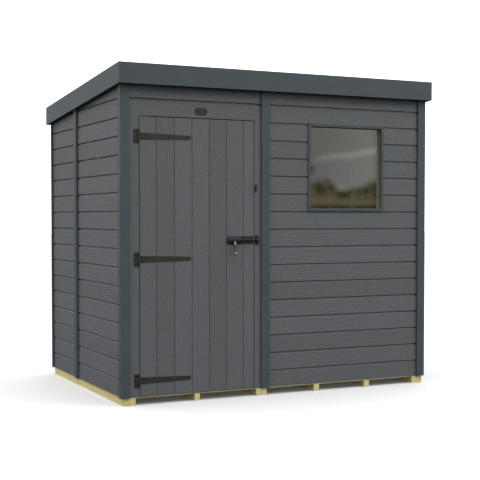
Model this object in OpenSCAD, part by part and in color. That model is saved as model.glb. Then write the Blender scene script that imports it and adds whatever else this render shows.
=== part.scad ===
// Pent shed clad in shiplap boards: a ledged and braced door, one fixed window,
// a roof that falls to the back, and a timber floor on bearers.
// X runs along the front, Y from the front to the back, Z up from the ground.
// The origin is on the ground, in the middle of the roof's outline.

/* [Overall] */
// Width of the walls over the corner trims
width = 2140; // [1980:10:2600]
// Depth of the walls over the corner trims
depth = 1472; // [1360:4:1900]
// Height of the roof's front edge above the ground
front_h = 2002; // [1950:1:2100]
// Fall of the roof from its front edge to its back edge
roof_fall = 122; // [60:1:160]
// How far the roof stands past the walls at the front and the back
eaves = 42; // [35:1:60]
// How far the roof stands past the walls at the sides
verge = 21; // [16:1:40]

/* [Base] */
// Height of a bearer
bearer_h = 44; // [35:1:60]
// Width of a bearer under the right floor panel
bearer_w = 38; // [30:1:42]
// Width of the inner bearers under the left floor panel
left_bearer_w = 33; // [28:1:42]
// Gap between the two bearers of a pair
bearer_gap = 0.8; // [0.5:0.1:3]
// How far the rightmost bearer lies inside the corner trims
bearer_inset = 12; // [12:1:30]
// How far the leftmost bearer lies inside the corner trims
left_bearer_inset = 18; // [13:1:34]
// Distance of the joint between the floor panels to the left of the front panels' seam
floor_shift = 25; // [0:1:60]
// How far a bearer's end lies inside the floor's edge
bearer_end = 1; // [0:0.5:6]
// Thickness of the floor boards
floor_t = 11; // [9:1:20]
// Thickness of the floor's edge below the cladding, which laps over the rest
floor_lip = 3; // [2:0.5:6]
// Gap between the cladding and the floor's thick part
floor_fit = 5; // [5:0.5:10]
// Cover width of a floor board
floor_board = 112; // [90:1:150]
// Depth of the V groove along a joint of the floor and roof boards
board_groove = 2; // [1:0.5:3]
// How far the floor lies inside the corner trims
floor_inset = 12; // [10:1:13]

/* [Cladding] */
// Cover height of a shiplap board
board_cover = 110; // [90:1:130]
// Thickness of a board
board_t = 12; // [10:0.5:16]
// Height of the scooped shoulder along the top of a board
scoop_h = 15; // [10:1:22]
// Depth of the scooped shoulder
scoop_d = 7; // [4:0.5:8]
// Gap between two wall panels
panel_gap = 0.6; // [0.4:0.1:2]
// Share of a side wall that its front panel takes
front_share = 0.61; // [0.5:0.001:0.7]

/* [Frame] */
// Depth of a framing timber, through the wall
frame_d = 34; // [28:1:45]
// Width of a framing timber, along the wall
frame_w = 28; // [22:1:34]
// Gap left where a timber meets the roof's slope
slope_fit = 0.1; // [0.05:0.05:0.5]

/* [Trims] */
// Width of a corner trim's leg on the front or the back
corner_w = 57; // [50:1:70]
// Width of a front corner trim's leg on the side
side_leg_w = 42; // [36:1:60]
// Width of the trim over a panel seam
seam_w = 56; // [45:1:70]
// Thickness of the trims
trim_t = 14; // [10:1:18]

/* [Door] */
// Width of the door
door_w = 746; // [700:1:760]
// Distance of the door's top edge below the roof's front edge
door_drop = 304; // [280:1:400]
// Running gap round the door
door_gap = 5; // [4:0.5:8]
// Width of the fixed board beside the door on the hinge side
hinge_post_w = 62.5; // [55:0.5:70]
// Width of the fixed board beside the door on the lock side, up to the seam trim
lock_post_w = 44.5; // [44:0.5:60]
// Cover width of a door board
door_board = 114; // [100:1:130]
// Width of the door's first board, on the hinge side
first_door_board = 105; // [90:1:120]
// Width of the V groove between door boards
groove_w = 6; // [3:0.5:9]
// Depth of the V groove between door boards
groove_d = 4; // [2:0.5:5]
// Height of a ledge on the back of the door
ledge_h = 90; // [70:1:110]
// Thickness of the ledges and braces
ledge_t = 20; // [16:1:25]
// How far the door stops reach behind the door's edge
stop_lap = 10; // [6:1:14]
// Gap between the door stops and the ledges' ends
ledge_gap = 10; // [6:1:20]
// Distance of a brace's foot and head from the ledges' ends
brace_in = 10; // [4:1:30]

/* [Hinges] */
// Height of the lowest hinge above the door's lower edge
low_hinge = 92; // [70:1:200]
// Distance of the highest hinge below the door's top edge
high_hinge = 115; // [70:1:200]
// How far the middle hinge lies below halfway between those two
mid_hinge = 2.5; // [0:0.5:60]
// Height of a hinge plate
plate_h = 82; // [60:1:100]
// Distance of the pins outside the doorway's edge
pin_in = 3.5; // [3:0.5:9]
// Width of a hinge plate, from the pin
plate_w = 29.5; // [26:0.5:36]
// Thickness of the plates and straps
metal_t = 2.5; // [2:0.5:3.5]
// Length of a strap from its pin to its tip
strap_l = 334; // [250:1:400]
// Height of a strap at its knuckle
strap_h = 41; // [30:1:50]
// Height of a strap near its tip
strap_tip_h = 24; // [16:1:30]
// Outer radius of a knuckle
knuckle_r = 4.5; // [4:0.1:4.8]
// Radius of a hinge pin
pin_r = 2.5; // [2:0.1:3]
// Running clearance of the pins
pin_clear = 0.1; // [0.05:0.05:0.2]
// Gap between a strap's knuckle and the plate's knuckles
knuckle_gap = 1; // [0.5:0.1:1.5]

/* [Bolt] */
// Height of the bolt above the middle hinge
bolt_rise = 107; // [80:1:200]
// Radius of the bolt
bolt_r = 5; // [4:0.5:6]
// Travel of the bolt from drawn to shot
bolt_travel = 44; // [40:1:44]
// Gap between the bolt and its base plate
bolt_off = 2.5; // [2:0.5:4]
// Length of the bolt
bolt_l = 177; // [168:1:180]
// How far the base plate stands past the drawn bolt's end
bolt_tail = 4; // [3:0.5:8]
// Length of the bolt's base plate
bolt_plate_l = 175; // [168:1:178]
// Height of the bolt's base plate
bolt_plate_h = 48; // [44:1:60]
// Radius of the base plate's and casing's left corners
bolt_corner = 11; // [6:1:16]
// Length of the pressed casing
casing_l = 89; // [86:1:100]
// Depth of the casing from the door's face
casing_d = 18; // [18:0.5:22]
// Wall of the casing
casing_wall = 2; // [1.5:0.5:2]
// Distance of the casing's inner guide from its open end
guide_in = 12; // [8:1:20]
// Distance of the guide loop from the base plate's right end
loop_in = 33; // [24:1:36]
// Width of the guide loop
loop_w = 9; // [6:1:12]
// Distance of the handle from the casing's left end
handle_x = 43; // [40:1:44]
// Radius of the neck that carries the handle through the slot
handle_neck_r = 3; // [2.5:0.5:3.5]
// Angle of that neck below the horizontal
neck_angle = 49; // [40:1:55]
// Length of that neck from the bolt's axis
handle_neck_l = 19; // [18.5:0.5:22]
// Gap between the neck and the sides of its slot
slot_gap = 1; // [0.5:0.5:1.5]
// Radius of the handle's stem
handle_r = 6.5; // [5:0.5:7]
// Distance of the knob's centre below the bolt's axis
handle_l = 83; // [70:1:110]
// Radius of the knob
knob_r = 8.5; // [7:0.5:9]
// Lean of the hanging handle away from the door
handle_lean = 11.5; // [8:0.5:14]
// Width of the keeper on the door post
keeper_w = 26; // [22:1:30]
// Height of the keeper on the door post
keeper_h = 58; // [50:1:66]
// Distance of the keeper from the door post's edge
keeper_edge = 1; // [1:0.5:4]
// Width of the keeper's flat on each side of its arch
keeper_flat = 3; // [2:0.5:5]

/* [Turn button] */
// Height of the turn button above the middle hinge
button_rise = 425; // [300:1:500]
// Length of the turn button
button_l = 46; // [40:1:60]
// Width of the turn button
button_w = 12; // [9:1:13]
// Thickness of the turn button
button_t = 5; // [4:0.5:7]
// Width that the button loses between its ends and its middle
button_waist = 3; // [1:0.5:4]
// Gap between the door post and the turn button
button_off = 5; // [4:0.5:7]

/* [Window] */
// Distance of the window from the panel seam to its outer trim
window_x = 304; // [280:1:330]
// Width of the window over its trim
window_w = 562; // [440:2:640]
// Height of the window over its trim
window_h = 552; // [400:2:900]
// Distance of the window's top edge below the roof's front edge
window_drop = 302.5; // [280:0.5:400]
// Width of the window trim
window_trim_w = 17; // [14:1:24]
// How far the window trim stands proud of the boards
window_trim_t = 8; // [5:1:12]
// Width of a window frame timber
sash_w = 20; // [16:1:26]
// Depth of the rebate that the glass lies in
glass_rebate = 8; // [5:1:10]
// Thickness of the glass
glass_t = 3; // [3:0.5:4]
// Distance of the glass from the frame timbers' inner faces
glass_back = 2; // [1:0.5:10]
// Gap between the glass's edge and its rebate
glass_fit = 1; // [0.5:0.5:2]

/* [Plate] */
// Width of the bare plate over the door
badge_w = 79; // [60:1:90]
// Height of the bare plate over the door
badge_h = 42; // [30:1:48]
// Distance of the plate to the right of the door's middle
badge_shift = 19; // [0:0.5:60]
// Height of the plate's middle above the doorway
badge_rise = 39; // [30:1:80]

/* [Roof] */
// Height of the fascia boards
fascia_h = 121; // [100:1:130]
// Thickness of the fascia boards
fascia_t = 15; // [12:1:16]
// How far the felt lies below the fascias' top edge
felt_drop = 6; // [3:1:12]
// Thickness of the felt
felt_t = 3; // [2:0.5:4]
// Thickness of the roof boards
deck_t = 11; // [9:1:15]
// Height of a rafter
rafter_h = 44; // [34:1:60]

/* [Hidden] */

$fn = 48;
eps = 0.01;

paint = "#5c5e60";
trim_paint = "#4b5356";
timber = "#c3b380";
iron = "#3e3d36";

// the cladding's lower edge, over the floor's lip, and the lowest board line
clad_bottom = bearer_h + floor_lip;
first_line = clad_bottom + board_cover;
floor_top = bearer_h + floor_t;
half_w = width / 2;
half_d = depth / 2;

// outer faces of the cladding and inner faces of the cladding and of the frame
clad_x = half_w - trim_t;
clad_y = half_d - trim_t;
lining_x = clad_x - board_t;
lining_y = clad_y - board_t;
room_x = lining_x - frame_d;
room_y = lining_y - frame_d;

// roof planes, as heights above the ground
roof_x = half_w + verge;
roof_y = half_d + eaves;
slope = roof_fall / (2 * roof_y);
function roof_z(y) = front_h - (y + roof_y) * slope;
felt_bottom = felt_drop + felt_t;
deck_bottom = felt_bottom + deck_t;
rafter_bottom = deck_bottom + rafter_h;
head_bottom = rafter_bottom + frame_w;

// front panels: the door's panel is on the left, the window's on the right
door_x0 = -half_w + corner_w + hinge_post_w + door_gap;
door_x1 = door_x0 + door_w;
opening_x0 = door_x0 - door_gap;
opening_x1 = door_x1 + door_gap;
door_top = front_h - door_drop;
opening_top = door_top + door_gap;
front_seam = opening_x1 + lock_post_w + seam_w / 2;
floor_seam = front_seam - floor_shift;
door_bottom = clad_bottom + door_gap;
door_face = -clad_y;

// side panels: the front one is longer than the rear one
side_seam = -half_d + front_share * depth;
// back panels mirror the front ones
back_seam = front_seam;

// hinges
pin_x = opening_x0 - pin_in;
pin_y = door_face - knuckle_r - knuckle_gap / 2;
hinge_low = door_bottom + low_hinge;
hinge_high = door_top - high_hinge;
hinge_mid = (hinge_low + hinge_high) / 2 - mid_hinge;
hinge_z = [hinge_low, hinge_mid, hinge_high];

// bolt, drawn at rest
bolt_z = hinge_mid + bolt_rise;
bolt_y = door_face - metal_t - bolt_off - bolt_r;
bolt_tip = door_x1;
bolt_x0 = bolt_tip - bolt_l;
casing_x0 = bolt_x0 - bolt_tail;
stem_x = casing_x0 + handle_x;
bolt_fit = 0.3;
// radius of the casing's face, through its two feet and its front
casing_r = (pow(bolt_plate_h / 2, 2) + pow(casing_d, 2)) / (2 * casing_d);
keeper_x0 = opening_x1 + keeper_edge;
keeper_in = bolt_r + 2;
keeper_wall = 3;

// turn button and its screw
button_x = opening_x1 + button_w / 2;
button_z = hinge_mid + button_rise;
button_fit = 0.3;
screw_r = 2.5;
screw_head_r = button_w / 2 - 1.5;
screw_head_t = 2.2;

// window
window_x0 = front_seam + window_x;
window_x1 = window_x0 + window_w;
window_z1 = front_h - window_drop;
window_z0 = window_z1 - window_h;
glass_face = -room_y - glass_t - glass_back;
mitre_gap = 0.4;

// heights of the board lines that lie between two heights
function lines_between(z0, z1) =
    [for (z = [first_line : board_cover : z1]) if (z > z0 + scoop_h && z < z1) z];

// outline of a run of shiplap boards, outer face at 0, from height z0 to z1
function scoop(z) = [for (a = [0 : 22.5 : 90]) [scoop_d * sin(a), z - scoop_h * cos(a)]];
function shiplap(z0, z1) = concat([[board_t, z0], [0, z0]],
    [for (z = lines_between(z0, z1)) each concat(scoop(z), [[0, z]])],
    [[0, z1], [board_t, z1]]);

// shapes drawn in the Y and Z plane and carried from x0 to x1
module along_x(x0, x1) {
    translate([x0, 0, 0]) rotate([90, 0, 90]) linear_extrude(x1 - x0) children();
}

module block(x0, x1, y0, y1, z0, z1) {
    translate([x0, y0, z0]) cube([x1 - x0, y1 - y0, z1 - z0]);
}

// a timber that follows the roof, between two drops below the roof's plane
module roof_bar(x0, x1, y0, y1, drop0, drop1) {
    along_x(x0, x1) polygon([[y0, roof_z(y0) - drop0], [y1, roof_z(y1) - drop0],
        [y1, roof_z(y1) - drop1], [y0, roof_z(y0) - drop1]]);
}

// an upright cut to the roof's slope at its top
module post(x0, x1, y0, y1, z0, drop) {
    along_x(x0, x1) polygon([[y0, z0], [y1, z0], [y1, roof_z(y1) - drop],
        [y0, roof_z(y0) - drop]]);
}

// keeps what lies under the roof boards
module under_deck() {
    intersection() {
        children();
        post(-roof_x, roof_x, -roof_y, roof_y, 0, deck_bottom + slope_fit);
    }
}

// a shiplap panel of one wall, outer face at y = 0, inwards along +y
module boards(length, z0 = clad_bottom, z1 = front_h) {
    along_x(0, length) polygon(shiplap(z0, z1));
}

module front_boards(x0, x1, z0 = clad_bottom) {
    under_deck() translate([x0, -clad_y, 0]) boards(x1 - x0, z0);
}

module back_boards(x0, x1) {
    under_deck() translate([x1, clad_y, 0]) rotate([0, 0, 180]) boards(x1 - x0);
}

module left_boards(y0, y1) {
    under_deck() translate([-clad_x, y1, 0]) rotate([0, 0, -90]) boards(y1 - y0);
}

module right_boards(y0, y1) {
    under_deck() translate([clad_x, y0, 0]) rotate([0, 0, 90]) boards(y1 - y0);
}

// ---- base ----
module bearer(x0, w = bearer_w) {
    end = half_d - floor_inset - bearer_end;
    block(x0, x0 + w, -end, end, 0, bearer_h);
}

module bearers() {
    left_end = -half_w + left_bearer_inset;
    left_inner = left_end + bearer_w + bearer_gap;
    seam_left = floor_seam - bearer_gap / 2 - left_bearer_w;
    seam_right = floor_seam + bearer_gap / 2;
    right_end = half_w - bearer_inset - bearer_w;
    right_inner = right_end - bearer_gap - bearer_w;
    color(timber) {
        bearer(left_end);
        bearer(left_inner);
        bearer((left_inner + seam_left) / 2, left_bearer_w);
        bearer(seam_left, left_bearer_w);
        for (i = [0 : 3])
            bearer(seam_right + i * (right_inner - seam_right) / 3);
        bearer(right_end);
    }
}

// floor boards with a small V groove along each joint, and a thin lip under the cladding
module floor_run(x0, x1) {
    lip = half_d - floor_inset;
    edge = lining_y - floor_fit;
    joints = [for (y = [floor_board - lip : floor_board : edge - floor_board / 4]) y];
    along_x(x0, x1) polygon(concat(
        [[-lip, bearer_h], [-lip, clad_bottom], [-edge, clad_bottom], [-edge, floor_top]],
        [for (y = joints) each [[y - board_groove, floor_top], [y, floor_top - board_groove],
            [y + board_groove, floor_top]]],
        [[edge, floor_top], [edge, clad_bottom], [lip, clad_bottom], [lip, bearer_h]]));
}

module floor_panels() {
    edge = lining_x - floor_fit;
    color(timber) difference() {
        union() {
            floor_run(-half_w + floor_inset, floor_seam - panel_gap / 2);
            floor_run(floor_seam + panel_gap / 2, half_w - floor_inset);
        }
        for (x = [-half_w, edge])
            block(x, x + half_w - edge, -half_d, half_d, clad_bottom, floor_top + 1);
    }
}

// ---- front wall ----
module hinge_side_post() {
    color(paint) block(-clad_x, opening_x0, -clad_y, -lining_y, clad_bottom, opening_top);
}

module lock_side_post() {
    color(paint)
        block(opening_x1, front_seam - panel_gap / 2, -clad_y, -lining_y, clad_bottom, opening_top);
}

module over_door_panel() {
    color(paint) under_deck() translate([-clad_x, -clad_y, 0])
        along_x(0, front_seam - panel_gap / 2 + clad_x)
            polygon(shiplap(opening_top, front_h));
}

module window_hole(inset) {
    block(window_x0 + inset, window_x1 - inset, -half_d, -room_y,
        window_z0 + inset, window_z1 - inset);
}

module window_panel() {
    color(paint) difference() {
        front_boards(front_seam + panel_gap / 2, clad_x);
        window_hole(window_trim_w);
    }
}

// ---- sides and back ----
module left_front_panel() {
    color(paint) left_boards(-lining_y, side_seam - panel_gap / 2);
}

module left_rear_panel() {
    color(paint) left_boards(side_seam + panel_gap / 2, lining_y);
}

module right_front_panel() {
    color(paint) right_boards(-lining_y, side_seam - panel_gap / 2);
}

module right_rear_panel() {
    color(paint) right_boards(side_seam + panel_gap / 2, lining_y);
}

module back_left_panel() {
    color(paint) back_boards(-clad_x, back_seam - panel_gap / 2);
}

module back_right_panel() {
    color(paint) back_boards(back_seam + panel_gap / 2, clad_x);
}

// ---- frame ----
module front_stud(x0) {
    post(x0, x0 + frame_w, -lining_y, -room_y, floor_top + frame_w, head_bottom + slope_fit);
}

// a stud beside the doorway, standing on the floor, with a stop behind the door's edge
module door_stud(x_edge, side) {
    lap = door_gap + stop_lap;
    outer = x_edge - side * frame_w;
    inner = x_edge + side * lap;
    rebate = -lining_y + door_gap;
    translate([0, 0, floor_top]) linear_extrude(opening_top - floor_top)
        polygon([[outer, -lining_y], [x_edge, -lining_y], [x_edge, rebate],
            [inner, rebate], [inner, -room_y], [outer, -room_y]]);
}

module front_studs() {
    color(timber) {
        front_stud(-lining_x);
        door_stud(opening_x0, 1);
        door_stud(opening_x1, -1);
        front_stud(front_seam + panel_gap / 2);
        front_stud(window_x0 + window_trim_w - sash_w - frame_w);
        front_stud(window_x1 - window_trim_w + sash_w);
        front_stud(lining_x - frame_w);
    }
}

// rails of the front wall: head, sole and the lintel over the door
module front_rails() {
    color(timber) {
        roof_bar(-lining_x, front_seam - panel_gap / 2, -lining_y, -room_y,
            rafter_bottom, head_bottom);
        roof_bar(front_seam + panel_gap / 2, lining_x, -lining_y, -room_y,
            rafter_bottom, head_bottom);
        block(front_seam + panel_gap / 2, lining_x, -lining_y, -room_y,
            floor_top, floor_top + frame_w);
        block(-lining_x + frame_w + panel_gap, front_seam - panel_gap / 2,
            -lining_y, -room_y, opening_top, opening_top + frame_w);
        block(-lining_x, opening_x0 - frame_w - panel_gap, -lining_y, -room_y,
            floor_top, floor_top + frame_w);
    }
}

module back_stud(x0) {
    post(x0, x0 + frame_w, room_y, lining_y, floor_top + frame_w, head_bottom + slope_fit);
}

module back_studs() {
    color(timber) {
        back_stud(-lining_x);
        back_stud((-lining_x + back_seam - frame_w) / 2);
        back_stud(back_seam - panel_gap / 2 - frame_w);
        back_stud(back_seam + panel_gap / 2);
        for (i = [1 : 2])
            back_stud(back_seam + i * (lining_x - frame_w - back_seam) / 3);
        back_stud(lining_x - frame_w);
    }
}

module wall_rails_back(x0, x1) {
    roof_bar(x0, x1, room_y, lining_y, rafter_bottom, head_bottom);
    block(x0, x1, room_y, lining_y, floor_top, floor_top + frame_w);
}

module back_rails() {
    color(timber) {
        wall_rails_back(-lining_x, back_seam - panel_gap / 2);
        wall_rails_back(back_seam + panel_gap / 2, lining_x);
    }
}

// studs of a side wall, between x0 and x1
module side_studs(x0, x1) {
    ends = [-room_y, (side_seam - room_y - frame_w) / 2, side_seam - panel_gap / 2 - frame_w,
        side_seam + panel_gap / 2, (side_seam + room_y - frame_w) / 2, room_y - frame_w];
    for (y = ends)
        post(x0, x1, y, y + frame_w, floor_top + frame_w, head_bottom + slope_fit);
}

module side_rails(x0, x1) {
    for (run = [[-room_y, side_seam - panel_gap / 2], [side_seam + panel_gap / 2, room_y]]) {
        roof_bar(x0, x1, run[0], run[1], rafter_bottom, head_bottom);
        block(x0, x1, run[0], run[1], floor_top, floor_top + frame_w);
    }
}

module left_studs() { color(timber) side_studs(-lining_x, -room_x); }
module right_studs() { color(timber) side_studs(room_x, lining_x); }
module left_rails() { color(timber) side_rails(-lining_x, -room_x); }
module right_rails() { color(timber) side_rails(room_x, lining_x); }

// ---- trims ----
// L-shaped corner trim at the front left, from the cladding's lower edge to the roof boards
module corner_trim() {
    under_deck() translate([0, 0, clad_bottom]) linear_extrude(front_h) polygon([
        [-half_w, -half_d], [-half_w + corner_w, -half_d], [-half_w + corner_w, -clad_y],
        [-clad_x, -clad_y], [-clad_x, -half_d + side_leg_w], [-half_w, -half_d + side_leg_w]]);
}

// flat corner trim on the back, which stands past the side's boards by its own thickness
module rear_corner_trim() {
    post(-half_w, -half_w + corner_w, clad_y, half_d, clad_bottom, deck_bottom + slope_fit);
}

module corner_trims() {
    color(trim_paint) {
        corner_trim();
        mirror([1, 0, 0]) corner_trim();
        rear_corner_trim();
        mirror([1, 0, 0]) rear_corner_trim();
    }
}

module seam_trims() {
    x0 = front_seam - seam_w / 2;
    y0 = side_seam - seam_w / 2;
    top = deck_bottom + slope_fit;
    color(trim_paint) {
        post(x0, x0 + seam_w, -half_d, -clad_y, clad_bottom, top);
        post(x0, x0 + seam_w, clad_y, half_d, clad_bottom, top);
        post(-half_w, -clad_x, y0, y0 + seam_w, clad_bottom, top);
        post(clad_x, half_w, y0, y0 + seam_w, clad_bottom, top);
    }
}

// ---- roof ----
deck_x = roof_x - fascia_t;
deck_y = roof_y - fascia_t;

module rafters() {
    count = 7;
    pitch = (2 * lining_x - frame_w) / (count - 1);
    color(timber) for (i = [0 : count - 1])
        roof_bar(-lining_x + i * pitch, -lining_x + i * pitch + frame_w,
            -lining_y, lining_y, deck_bottom + slope_fit, rafter_bottom - slope_fit);
}

// roof boards laid across the rafters, with V grooves on the underside
module deck_run(x0, x1) {
    g = board_groove;
    top = felt_bottom + slope_fit;
    joints = [for (y = [-deck_y + floor_board : floor_board : deck_y - floor_board / 4]) y];
    along_x(x0, x1) polygon(concat(
        [[deck_y, roof_z(deck_y) - top], [-deck_y, roof_z(-deck_y) - top],
            [-deck_y, roof_z(-deck_y) - deck_bottom]],
        [for (y = joints) each [[y - g, roof_z(y - g) - deck_bottom],
            [y, roof_z(y) - deck_bottom + g], [y + g, roof_z(y + g) - deck_bottom]]],
        [[deck_y, roof_z(deck_y) - deck_bottom]]));
}

module roof_deck_left() {
    color(timber) deck_run(-deck_x, front_seam - panel_gap / 2);
}

module roof_deck_right() {
    color(timber) deck_run(front_seam + panel_gap / 2, deck_x);
}

module roof_felt() {
    color("#2b2d2e") roof_bar(-deck_x, deck_x, -deck_y, deck_y, felt_drop, felt_bottom);
}

module front_fascia() {
    color(trim_paint) block(-deck_x, deck_x, -roof_y, -deck_y, front_h - fascia_h, front_h);
}

module back_fascia() {
    top = front_h - roof_fall;
    color(trim_paint) block(-deck_x, deck_x, deck_y, roof_y, top - fascia_h, top);
}

module left_fascia() {
    color(trim_paint) roof_bar(-roof_x, -deck_x, -roof_y, roof_y, 0, fascia_h);
}

module right_fascia() {
    color(trim_paint) roof_bar(deck_x, roof_x, -roof_y, roof_y, 0, fascia_h);
}

// ---- door ----
module door_boards() {
    joints = [for (x = [door_x0 + first_door_board : door_board : door_x1 - groove_w]) x];
    color(paint) translate([0, 0, door_bottom]) linear_extrude(door_top - door_bottom)
        polygon(concat([[door_x1, door_face], [door_x1, -lining_y], [door_x0, -lining_y],
            [door_x0, door_face]],
            [for (x = joints) each [[x - groove_w / 2, door_face], [x, door_face + groove_d],
                [x + groove_w / 2, door_face]]]));
}

ledge_x0 = door_x0 + stop_lap + ledge_gap;
ledge_x1 = door_x1 - stop_lap - ledge_gap;

module door_ledges() {
    color(timber) for (z = hinge_z)
        block(ledge_x0, ledge_x1, -lining_y, -lining_y + ledge_t, z - ledge_h / 2,
            z + ledge_h / 2);
}

// braces that rise from the hinge side between two ledges
module brace(z0, z1) {
    x0 = ledge_x0 + brace_in;
    x1 = ledge_x1 - brace_in;
    translate([0, -lining_y + ledge_t, 0]) rotate([90, 0, 0]) linear_extrude(ledge_t)
        polygon([[x0, z0], [x0 + ledge_h, z0], [x1, z1], [x1 - ledge_h, z1]]);
}

module door_braces() {
    color(timber) for (i = [0 : len(hinge_z) - 2])
        brace(hinge_z[i] + ledge_h / 2, hinge_z[i + 1] - ledge_h / 2);
}

// ---- hinges ----
// tapered strap with a round tip, on a leaf that clears the post and ends in the knuckle
module strap(z) {
    tip_r = strap_tip_h / 2;
    root = door_x0 - pin_x;
    leaf_back = door_face - knuckle_gap / 2;
    translate([pin_x, 0, z]) difference() {
        union() {
            translate([0, door_face, 0]) rotate([90, 0, 0]) linear_extrude(metal_t) {
                polygon([[root, -strap_h / 2], [strap_l - tip_r, -tip_r],
                    [strap_l - tip_r, tip_r], [root, strap_h / 2]]);
                translate([strap_l - tip_r, 0]) circle(tip_r);
            }
            block(0, root + metal_t, leaf_back - metal_t, leaf_back,
                -strap_h / 2, strap_h / 2);
            translate([0, pin_y, -strap_h / 2]) cylinder(strap_h, r = knuckle_r);
        }
        translate([0, pin_y, -strap_h / 2 - eps])
            cylinder(strap_h + 2 * eps, r = pin_r + pin_clear);
    }
}

module hinge_straps() { color(iron) for (z = hinge_z) strap(z); }

// plate on the post, with a knuckle above and below the strap's and the pin through all
module plate(z) {
    mid = strap_h / 2 + knuckle_gap;
    knuckle_h = plate_h / 2 - mid;
    cut = knuckle_r + 2 * knuckle_gap;
    translate([pin_x, 0, z]) {
        difference() {
            block(-plate_w, 0, door_face - metal_t, door_face, -plate_h / 2, plate_h / 2);
            block(-cut, cut, door_face - cut, door_face + cut, -mid, mid);
        }
        for (low = [-plate_h / 2, mid])
            translate([0, pin_y, low]) cylinder(knuckle_h, r = knuckle_r);
        translate([0, pin_y, -plate_h / 2]) cylinder(plate_h, r = pin_r);
    }
}

module hinge_plates() { color(iron) for (z = hinge_z) plate(z); }

// ---- bolt ----
// an arch over the bolt, standing in the plate behind it, less any outline given
module arch(x0, x1, outer) {
    foot = door_face - metal_t / 2;
    along_x(x0, x1) difference() {
        union() {
            intersection() {
                translate([bolt_y, bolt_z]) circle(outer);
                translate([bolt_y - outer, bolt_z - outer])
                    square([foot - bolt_y + outer, 2 * outer]);
            }
            translate([bolt_y, bolt_z - outer]) square([foot - bolt_y, 2 * outer]);
        }
        children();
    }
}

// seen from the front: the base plate from x0 to x1, with round corners on its left
module bolt_outline(x0, x1) {
    h = bolt_plate_h / 2;
    translate([0, bolt_z]) {
        translate([x0 + bolt_corner, -h]) square([x1 - x0 - bolt_corner, 2 * h]);
        translate([x0, bolt_corner - h]) square([2 * bolt_corner, 2 * (h - bolt_corner)]);
        for (s = [-1, 1])
            translate([x0 + bolt_corner, s * (h - bolt_corner)]) circle(bolt_corner);
    }
}

module bolt_face(x0, x1, thickness) {
    translate([0, door_face, 0]) rotate([90, 0, 0]) linear_extrude(thickness)
        bolt_outline(x0, x1);
}

// the casing's arched face as a profile, in front of the given depth from the door
module casing_profile(radius, depth) {
    intersection() {
        translate([door_face - casing_d + casing_r, bolt_z]) circle(radius);
        translate([door_face - depth - casing_r, bolt_z - casing_r])
            square([casing_r, 2 * casing_r]);
    }
}

module bolt_casing() {
    x1 = casing_x0 + casing_l;
    slot = handle_neck_r + slot_gap;
    loop_x = casing_x0 + bolt_plate_l - loop_in - loop_w / 2;
    color(iron) difference() {
        union() {
            bolt_face(casing_x0, casing_x0 + bolt_plate_l, metal_t);
            difference() {
                intersection() {
                    along_x(casing_x0, x1) casing_profile(casing_r, metal_t / 2);
                    bolt_face(casing_x0, x1 + 1, casing_r);
                }
                along_x(casing_x0 + casing_wall, x1 - guide_in - casing_wall)
                    casing_profile(casing_r - casing_wall, metal_t);
                along_x(x1 - guide_in, x1 + 1)
                    casing_profile(casing_r - casing_wall, metal_t);
            }
            arch(loop_x, loop_x + loop_w, bolt_r + casing_wall + bolt_fit);
        }
        // bore through the inner guide and the loop
        translate([casing_x0 + casing_l / 2, bolt_y, bolt_z]) rotate([0, 90, 0])
            cylinder(bolt_plate_l, r = bolt_r + bolt_fit);
        // slot that the handle's neck slides in, open at the casing's right end
        translate([0, bolt_y, bolt_z]) rotate([90 + neck_angle, 0, 0])
            block(stem_x - handle_x / 2, x1 + 1, -slot, slot, 0, 2 * casing_r);
    }
}

module bolt_rod() {
    color(iron) translate([bolt_x0, bolt_y, bolt_z]) rotate([0, 90, 0])
        cylinder(bolt_l, r = bolt_r);
}

// bent handle: a neck out of the slot, a hanging stem and a round knob
module bolt_handle() {
    elbow_y = -handle_neck_l * cos(neck_angle);
    elbow_z = -handle_neck_l * sin(neck_angle);
    stem_l = (handle_l + elbow_z) / cos(handle_lean);
    color(iron) translate([stem_x, bolt_y, bolt_z]) difference() {
        union() {
            rotate([90 + neck_angle, 0, 0]) cylinder(handle_neck_l, r = handle_neck_r);
            translate([0, elbow_y, elbow_z]) {
                sphere(handle_r);
                rotate([180 - handle_lean, 0, 0]) {
                    cylinder(stem_l, r = handle_r);
                    translate([0, 0, stem_l]) sphere(knob_r);
                }
            }
        }
        translate([-2 * handle_r, 0, 0]) rotate([0, 90, 0]) cylinder(4 * handle_r, r = bolt_r);
    }
}

module bolt_keeper() {
    color(iron) {
        block(keeper_x0, keeper_x0 + keeper_w, door_face - metal_t, door_face,
            bolt_z - keeper_h / 2, bolt_z + keeper_h / 2);
        arch(keeper_x0 + keeper_flat, keeper_x0 + keeper_w - keeper_flat,
            keeper_in + keeper_wall) {
            translate([bolt_y, bolt_z]) circle(keeper_in);
            translate([bolt_y, bolt_z - keeper_in])
                square([door_face - metal_t - bolt_y, 2 * keeper_in]);
        }
    }
}

// ---- turn button, upright at rest ----
module turn_button() {
    color(iron) translate([button_x, door_face - button_off, button_z]) rotate([90, 0, 0])
        linear_extrude(button_t) difference() {
            union() {
                square([button_w - button_waist, button_l - button_w], center = true);
                for (s = [-1, 1])
                    translate([0, s * (button_l - button_w) / 2]) circle(button_w / 2);
                circle(button_w / 2);
            }
            circle(screw_r + pin_clear);
        }
}

module button_screw() {
    color(iron) translate([button_x, door_face, button_z]) rotate([90, 0, 0]) {
        cylinder(button_off - button_fit, r = screw_head_r);
        cylinder(button_off + button_t + button_fit + eps, r = screw_r);
        translate([0, 0, button_off + button_t + button_fit])
            cylinder(screw_head_t, r = screw_head_r);
    }
}

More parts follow.
